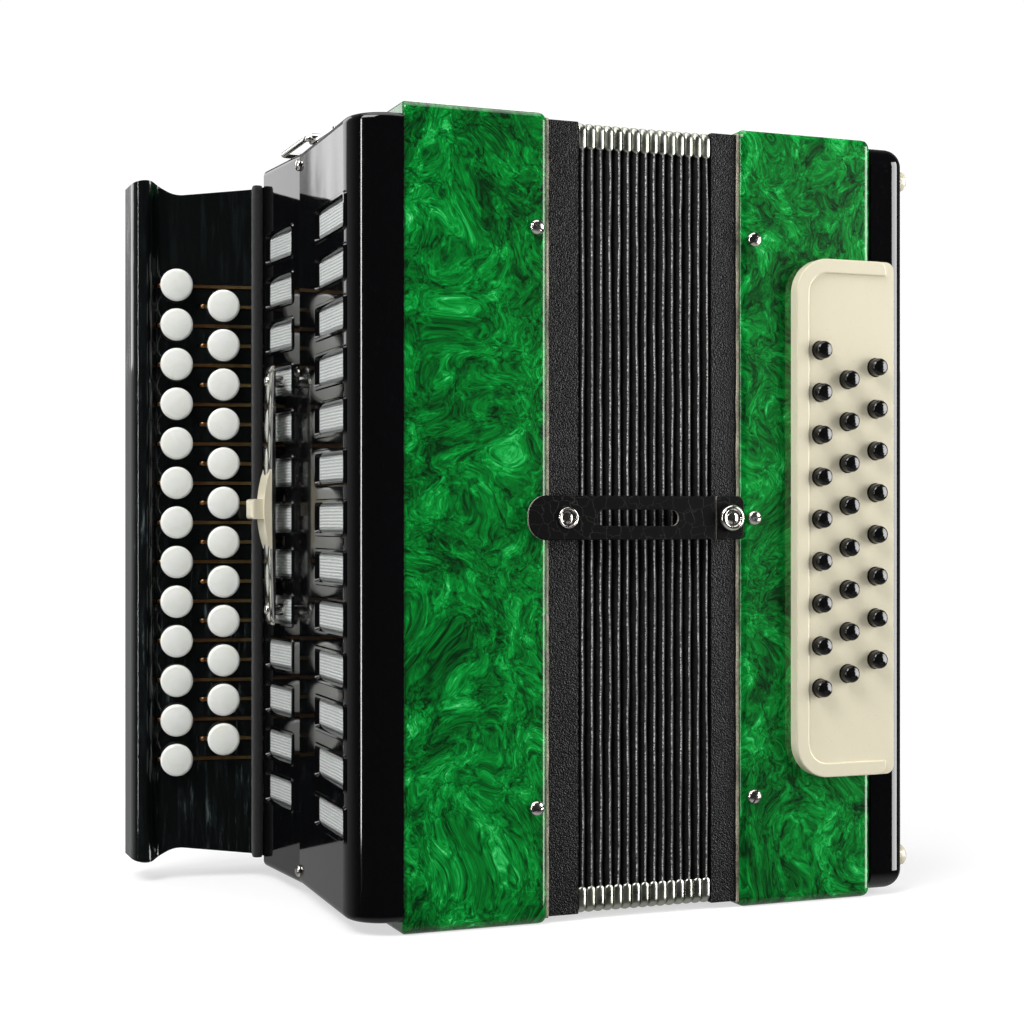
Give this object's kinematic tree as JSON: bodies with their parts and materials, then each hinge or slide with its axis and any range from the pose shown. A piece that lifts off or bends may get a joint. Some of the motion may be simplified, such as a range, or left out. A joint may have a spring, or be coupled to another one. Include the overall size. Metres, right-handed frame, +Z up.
{
  "type": "button accordion",
  "caption": "Small upright button accordion with two rows of treble buttons on a tilted fingerboard, a slotted treble cover, pleated bellows and a bass button panel.",
  "frame": {"origin": "middle of the bounding box in plan, on the plane that the two caseworks stand on", "axes": "+X along the bellows from the treble side to the bass side, +Y from the listener's side to the player's side, +Z up"},
  "size_m": [0.3488, 0.1854, 0.327],
  "materials": {
    "green_pearl": "green celluloid with a flame-like pearl figure under a clear polish",
    "black_gloss": "polished black lacquer",
    "pearl_white": "white pearl button discs; the levers under them are brass",
    "black_buttons": "polished black domes",
    "cream": "ivory-coloured moulded plastic",
    "nickel": "nickel plate",
    "steel": "drawn rod",
    "wood": "planed, unfinished",
    "leather": "black, fine grain, raw cut edges",
    "leatherette": "black pebbled covering",
    "bellows_cloth": "black covered card with worn fold edges",
    "silver_cloth": "silver-grey ribbed cloth",
    "felt": "matte black felt"
  },
  "bodies": {
    "treble": {"treble_casework": "green_pearl", "treble_deck": "wood", "treble_reed_block": "wood", "treble_grille": "black_gloss", "grille_cloth": "silver_cloth", "fingerboard": "black_gloss", "key_axle": "steel", "lever_felt_strip": "felt", "register_plate": "nickel", "treble_bellows_frame": "leatherette", "treble_screws": "nickel", "strap_brackets": "nickel", "strap_studs": "nickel", "bellows_folds": "bellows_cloth", "bellows_corner_caps": "nickel"},
    "bass": {"bass_bellows_frame": "leatherette", "bass_casework": "green_pearl", "bass_end_cover": "black_gloss", "bass_panel": "cream", "bass_deck": "wood", "bass_reed_block": "wood", "bass_screws": "nickel", "end_feet": "cream", "hand_strap": "leather", "hand_strap_brackets": "nickel", "strap_anchors": "nickel"},
    "treble_key_outer_01": {"treble_key_outer_01": "pearl_white"},
    "treble_key_outer_02": {"treble_key_outer_02": "pearl_white"},
    "treble_key_outer_03": {"treble_key_outer_03": "pearl_white"},
    "treble_key_outer_04": {"treble_key_outer_04": "pearl_white"},
    "treble_key_outer_05": {"treble_key_outer_05": "pearl_white"},
    "treble_key_outer_06": {"treble_key_outer_06": "pearl_white"},
    "treble_key_outer_07": {"treble_key_outer_07": "pearl_white"},
    "treble_key_outer_08": {"treble_key_outer_08": "pearl_white"},
    "treble_key_outer_09": {"treble_key_outer_09": "pearl_white"},
    "treble_key_outer_10": {"treble_key_outer_10": "pearl_white"},
    "treble_key_outer_11": {"treble_key_outer_11": "pearl_white"},
    "treble_key_outer_12": {"treble_key_outer_12": "pearl_white"},
    "treble_key_outer_13": {"treble_key_outer_13": "pearl_white"},
    "treble_key_inner_01": {"treble_key_inner_01": "pearl_white"},
    "treble_key_inner_02": {"treble_key_inner_02": "pearl_white"},
    "treble_key_inner_03": {"treble_key_inner_03": "pearl_white"},
    "treble_key_inner_04": {"treble_key_inner_04": "pearl_white"},
    "treble_key_inner_05": {"treble_key_inner_05": "pearl_white"},
    "treble_key_inner_06": {"treble_key_inner_06": "pearl_white"},
    "treble_key_inner_07": {"treble_key_inner_07": "pearl_white"},
    "treble_key_inner_08": {"treble_key_inner_08": "pearl_white"},
    "treble_key_inner_09": {"treble_key_inner_09": "pearl_white"},
    "treble_key_inner_10": {"treble_key_inner_10": "pearl_white"},
    "treble_key_inner_11": {"treble_key_inner_11": "pearl_white"},
    "treble_key_inner_12": {"treble_key_inner_12": "pearl_white"},
    "bass_row_1": {"bass_buttons_row_1": "black_buttons"},
    "bass_row_2": {"bass_buttons_row_2": "black_buttons"},
    "bass_row_3": {"bass_buttons_row_3": "black_buttons"},
    "air_button": {"air_button": "cream"},
    "register_knob": {"register_knob": "cream"},
    "front_strap": {"front_bellows_strap": "leather"},
    "rear_strap": {"rear_bellows_strap": "leather"},
    "ring_top": {"strap_ring_top": "nickel"},
    "ring_back": {"strap_ring_back": "nickel"}
  },
  "joints": [
    {"name": "bellows_open", "type": "slide", "parent": "treble", "child": "bass", "axis": [1, 0, 0], "range_m": [0, 0.3], "deforming": ["bellows_folds", "bellows_corner_caps"]},
    {"name": "register_slide", "type": "slide", "parent": "treble", "child": "register_knob", "axis": [0, 0, 1], "range_m": [0, 0.012]},
    {"name": "front_strap_fold", "type": "hinge", "parent": "bass", "child": "front_strap", "pos_m": [0.03865, -0.08515, 0.1635], "axis": [0, 0, 1], "range_deg": [0, 105]},
    {"name": "rear_strap_fold", "type": "hinge", "parent": "bass", "child": "rear_strap", "pos_m": [0.03865, 0.08885, 0.1635], "axis": [0, 0, -1], "range_deg": [0, 105]},
    {"name": "air_button_press", "type": "slide", "parent": "bass", "child": "air_button", "axis": [-1, 0, 0], "range_m": [0, 0.003], "stiffness_N_per_m": 300, "springref_m": -0.004},
    {"name": "bass_row_1_press", "type": "slide", "parent": "bass", "child": "bass_row_1", "axis": [0, 1, 0], "range_m": [0, 0.004], "stiffness_N_per_m": 250, "springref_m": -0.004},
    {"name": "bass_row_2_press", "type": "slide", "parent": "bass", "child": "bass_row_2", "axis": [0, 1, 0], "range_m": [0, 0.004], "stiffness_N_per_m": 250, "springref_m": -0.004},
    {"name": "bass_row_3_press", "type": "slide", "parent": "bass", "child": "bass_row_3", "axis": [0, 1, 0], "range_m": [0, 0.004], "stiffness_N_per_m": 250, "springref_m": -0.004},
    {"name": "ring_top_swing", "type": "hinge", "parent": "treble", "child": "ring_top", "pos_m": [-0.10945, -0.01015, 0.3243], "axis": [1, 0, 0], "range_deg": [0, 150]},
    {"name": "ring_back_swing", "type": "hinge", "parent": "treble", "child": "ring_back", "pos_m": [-0.06595, 0.08925, 0.046], "axis": [1, 0, 0], "range_deg": [0, 150]},
    {"name": "treble_key_outer_01_press", "type": "hinge", "parent": "treble", "child": "treble_key_outer_01", "pos_m": [-0.10395, 0.05985, 0.2687], "axis": [0, 0, -1], "range_deg": [0, 2.6], "stiffness_Nm_per_rad": 0.12, "springref_deg": -11.46},
    {"name": "treble_key_outer_02_press", "type": "hinge", "parent": "treble", "child": "treble_key_outer_02", "pos_m": [-0.10395, 0.05985, 0.25085], "axis": [0, 0, -1], "range_deg": [0, 2.6], "stiffness_Nm_per_rad": 0.12, "springref_deg": -11.46},
    {"name": "treble_key_outer_03_press", "type": "hinge", "parent": "treble", "child": "treble_key_outer_03", "pos_m": [-0.10395, 0.05985, 0.233], "axis": [0, 0, -1], "range_deg": [0, 2.6], "stiffness_Nm_per_rad": 0.12, "springref_deg": -11.46},
    {"name": "treble_key_outer_04_press", "type": "hinge", "parent": "treble", "child": "treble_key_outer_04", "pos_m": [-0.10395, 0.05985, 0.21515], "axis": [0, 0, -1], "range_deg": [0, 2.6], "stiffness_Nm_per_rad": 0.12, "springref_deg": -11.46},
    {"name": "treble_key_outer_05_press", "type": "hinge", "parent": "treble", "child": "treble_key_outer_05", "pos_m": [-0.10395, 0.05985, 0.1973], "axis": [0, 0, -1], "range_deg": [0, 2.6], "stiffness_Nm_per_rad": 0.12, "springref_deg": -11.46},
    {"name": "treble_key_outer_06_press", "type": "hinge", "parent": "treble", "child": "treble_key_outer_06", "pos_m": [-0.10395, 0.05985, 0.17945], "axis": [0, 0, -1], "range_deg": [0, 2.6], "stiffness_Nm_per_rad": 0.12, "springref_deg": -11.46},
    {"name": "treble_key_outer_07_press", "type": "hinge", "parent": "treble", "child": "treble_key_outer_07", "pos_m": [-0.10395, 0.05985, 0.1616], "axis": [0, 0, -1], "range_deg": [0, 2.6], "stiffness_Nm_per_rad": 0.12, "springref_deg": -11.46},
    {"name": "treble_key_outer_08_press", "type": "hinge", "parent": "treble", "child": "treble_key_outer_08", "pos_m": [-0.10395, 0.05985, 0.14375], "axis": [0, 0, -1], "range_deg": [0, 2.6], "stiffness_Nm_per_rad": 0.12, "springref_deg": -11.46},
    {"name": "treble_key_outer_09_press", "type": "hinge", "parent": "treble", "child": "treble_key_outer_09", "pos_m": [-0.10395, 0.05985, 0.1259], "axis": [0, 0, -1], "range_deg": [0, 2.6], "stiffness_Nm_per_rad": 0.12, "springref_deg": -11.46},
    {"name": "treble_key_outer_10_press", "type": "hinge", "parent": "treble", "child": "treble_key_outer_10", "pos_m": [-0.10395, 0.05985, 0.10805], "axis": [0, 0, -1], "range_deg": [0, 2.6], "stiffness_Nm_per_rad": 0.12, "springref_deg": -11.46},
    {"name": "treble_key_outer_11_press", "type": "hinge", "parent": "treble", "child": "treble_key_outer_11", "pos_m": [-0.10395, 0.05985, 0.0902], "axis": [0, 0, -1], "range_deg": [0, 2.6], "stiffness_Nm_per_rad": 0.12, "springref_deg": -11.46},
    {"name": "treble_key_outer_12_press", "type": "hinge", "parent": "treble", "child": "treble_key_outer_12", "pos_m": [-0.10395, 0.05985, 0.07235], "axis": [0, 0, -1], "range_deg": [0, 2.6], "stiffness_Nm_per_rad": 0.12, "springref_deg": -11.46},
    {"name": "treble_key_outer_13_press", "type": "hinge", "parent": "treble", "child": "treble_key_outer_13", "pos_m": [-0.10395, 0.05985, 0.0545], "axis": [0, 0, -1], "range_deg": [0, 2.6], "stiffness_Nm_per_rad": 0.12, "springref_deg": -11.46},
    {"name": "treble_key_inner_01_press", "type": "hinge", "parent": "treble", "child": "treble_key_inner_01", "pos_m": [-0.10395, 0.05985, 0.25977], "axis": [0, 0, -1], "range_deg": [0, 4.5], "stiffness_Nm_per_rad": 0.07, "springref_deg": -11.46},
    {"name": "treble_key_inner_02_press", "type": "hinge", "parent": "treble", "child": "treble_key_inner_02", "pos_m": [-0.10395, 0.05985, 0.24193], "axis": [0, 0, -1], "range_deg": [0, 4.5], "stiffness_Nm_per_rad": 0.07, "springref_deg": -11.46},
    {"name": "treble_key_inner_03_press", "type": "hinge", "parent": "treble", "child": "treble_key_inner_03", "pos_m": [-0.10395, 0.05985, 0.22407], "axis": [0, 0, -1], "range_deg": [0, 4.5], "stiffness_Nm_per_rad": 0.07, "springref_deg": -11.46},
    {"name": "treble_key_inner_04_press", "type": "hinge", "parent": "treble", "child": "treble_key_inner_04", "pos_m": [-0.10395, 0.05985, 0.20622], "axis": [0, 0, -1], "range_deg": [0, 4.5], "stiffness_Nm_per_rad": 0.07, "springref_deg": -11.46},
    {"name": "treble_key_inner_05_press", "type": "hinge", "parent": "treble", "child": "treble_key_inner_05", "pos_m": [-0.10395, 0.05985, 0.18837], "axis": [0, 0, -1], "range_deg": [0, 4.5], "stiffness_Nm_per_rad": 0.07, "springref_deg": -11.46},
    {"name": "treble_key_inner_06_press", "type": "hinge", "parent": "treble", "child": "treble_key_inner_06", "pos_m": [-0.10395, 0.05985, 0.17053], "axis": [0, 0, -1], "range_deg": [0, 4.5], "stiffness_Nm_per_rad": 0.07, "springref_deg": -11.46},
    {"name": "treble_key_inner_07_press", "type": "hinge", "parent": "treble", "child": "treble_key_inner_07", "pos_m": [-0.10395, 0.05985, 0.15268], "axis": [0, 0, -1], "range_deg": [0, 4.5], "stiffness_Nm_per_rad": 0.07, "springref_deg": -11.46},
    {"name": "treble_key_inner_08_press", "type": "hinge", "parent": "treble", "child": "treble_key_inner_08", "pos_m": [-0.10395, 0.05985, 0.13483], "axis": [0, 0, -1], "range_deg": [0, 4.5], "stiffness_Nm_per_rad": 0.07, "springref_deg": -11.46},
    {"name": "treble_key_inner_09_press", "type": "hinge", "parent": "treble", "child": "treble_key_inner_09", "pos_m": [-0.10395, 0.05985, 0.11697], "axis": [0, 0, -1], "range_deg": [0, 4.5], "stiffness_Nm_per_rad": 0.07, "springref_deg": -11.46},
    {"name": "treble_key_inner_10_press", "type": "hinge", "parent": "treble", "child": "treble_key_inner_10", "pos_m": [-0.10395, 0.05985, 0.09913], "axis": [0, 0, -1], "range_deg": [0, 4.5], "stiffness_Nm_per_rad": 0.07, "springref_deg": -11.46},
    {"name": "treble_key_inner_11_press", "type": "hinge", "parent": "treble", "child": "treble_key_inner_11", "pos_m": [-0.10395, 0.05985, 0.08128], "axis": [0, 0, -1], "range_deg": [0, 4.5], "stiffness_Nm_per_rad": 0.07, "springref_deg": -11.46},
    {"name": "treble_key_inner_12_press", "type": "hinge", "parent": "treble", "child": "treble_key_inner_12", "pos_m": [-0.10395, 0.05985, 0.06342], "axis": [0, 0, -1], "range_deg": [0, 4.5], "stiffness_Nm_per_rad": 0.07, "springref_deg": -11.46}
  ]
}
